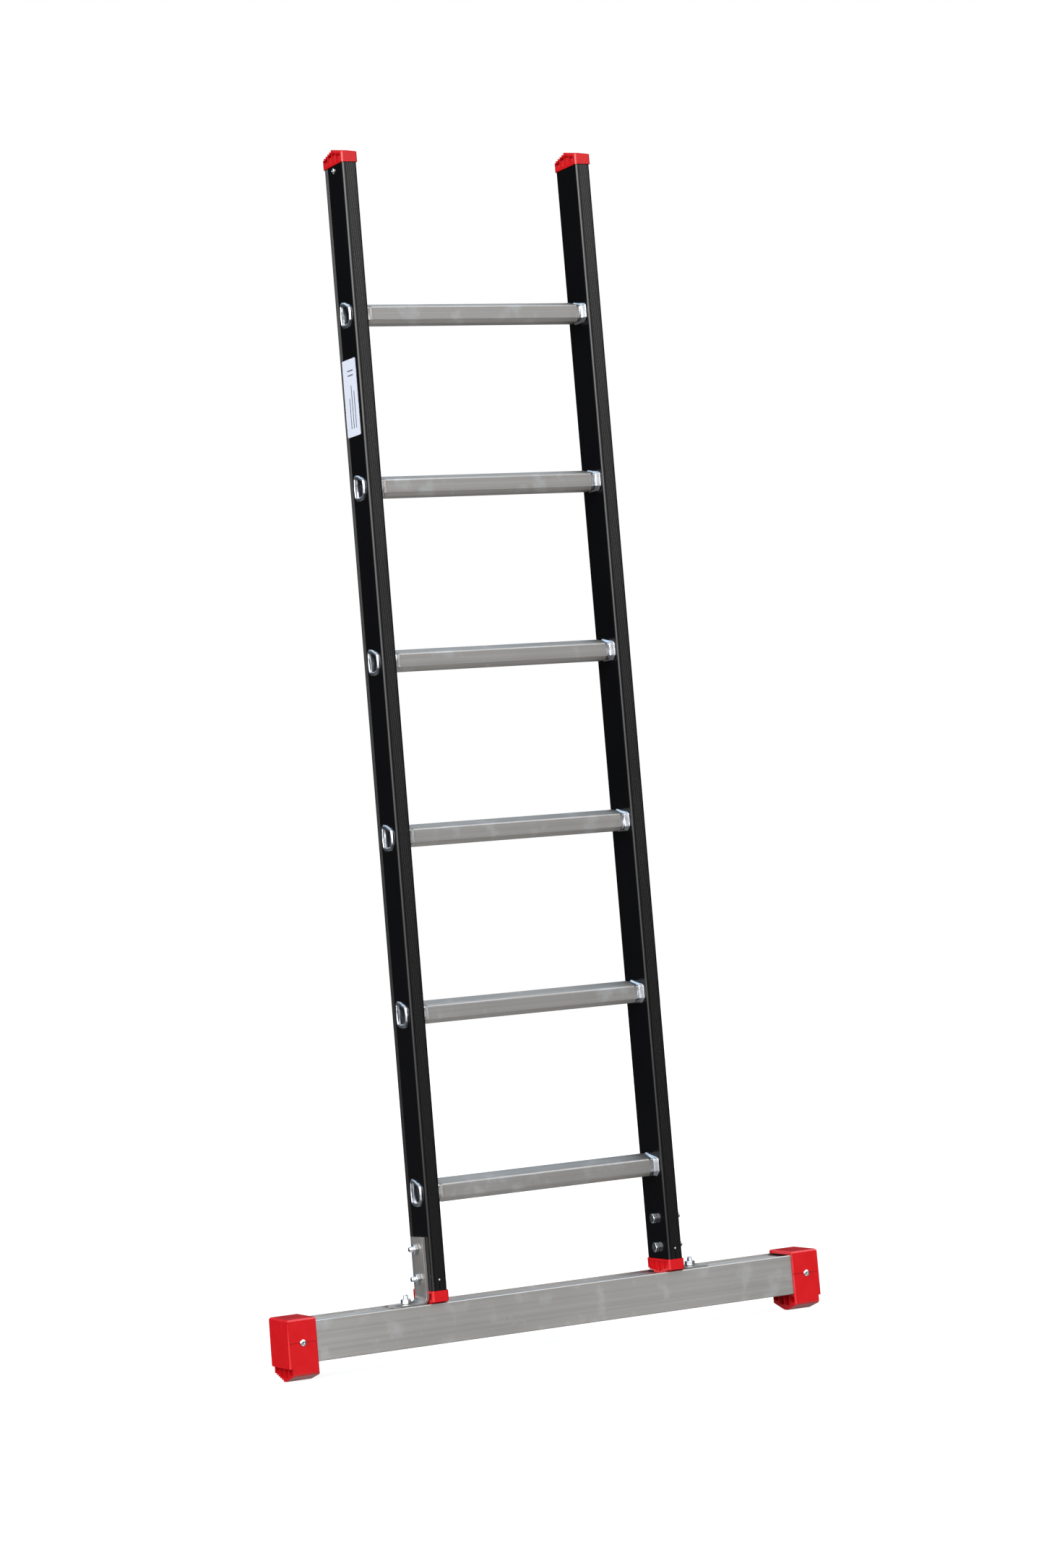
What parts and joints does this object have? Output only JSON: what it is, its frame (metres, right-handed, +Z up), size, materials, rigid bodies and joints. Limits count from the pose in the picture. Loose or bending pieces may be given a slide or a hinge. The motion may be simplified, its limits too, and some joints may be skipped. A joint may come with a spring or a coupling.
{
  "type": "single-section ladder",
  "caption": "Straight single-section ladder with tubular rungs between coated box stiles, on a bolted stabiliser bar with moulded feet.",
  "frame": {"origin": "on the ground in the middle of the ladder, under the stabiliser bar, with the ladder upright", "axes": "+X across the ladder to the right as seen by someone about to climb it, +Y away from the climber, towards the wall the ladder leans on, +Z up along the stiles"},
  "size_m": [0.845, 0.0703, 1.7251],
  "materials": {
    "black_coat": "glossy black coat on extruded aluminium, ribbed on the narrow edges",
    "mill_aluminium": "bare extruded aluminium with fine draw lines along its length",
    "red_plastic": "moulded, satin to glossy",
    "zinc": "bright zinc plating",
    "label_film": "printed film, left blank"
  },
  "bodies": {
    "root": {"stile_left": "black_coat", "stile_right": "black_coat", "rung_1": "mill_aluminium", "rung_2": "mill_aluminium", "rung_3": "mill_aluminium", "rung_4": "mill_aluminium", "rung_5": "mill_aluminium", "rung_6": "mill_aluminium", "top_cap_left": "red_plastic", "top_cap_right": "red_plastic", "bottom_cap_left": "red_plastic", "bottom_cap_right": "red_plastic", "top_cap_rivet_left": "zinc", "top_cap_rivet_right": "zinc", "bottom_cap_rivet_left": "zinc", "bottom_cap_rivet_right": "zinc", "stabiliser_bar": "mill_aluminium", "bracket_left": "mill_aluminium", "bracket_right": "mill_aluminium", "stile_bolt_left_lower": "zinc", "stile_bolt_left_upper": "zinc", "stile_bolt_right_lower": "zinc", "stile_bolt_right_upper": "zinc", "stile_nut_left_lower": "zinc", "stile_nut_left_upper": "zinc", "stile_nut_right_lower": "zinc", "stile_nut_right_upper": "zinc", "bar_bolt_left": "zinc", "bar_bolt_right": "zinc", "bar_nut_left": "zinc", "bar_nut_right": "zinc", "foot_left": "red_plastic", "foot_right": "red_plastic", "foot_rivet_left": "zinc", "foot_rivet_right": "zinc", "rating_label": "label_film"}
  },
  "joints": []
}
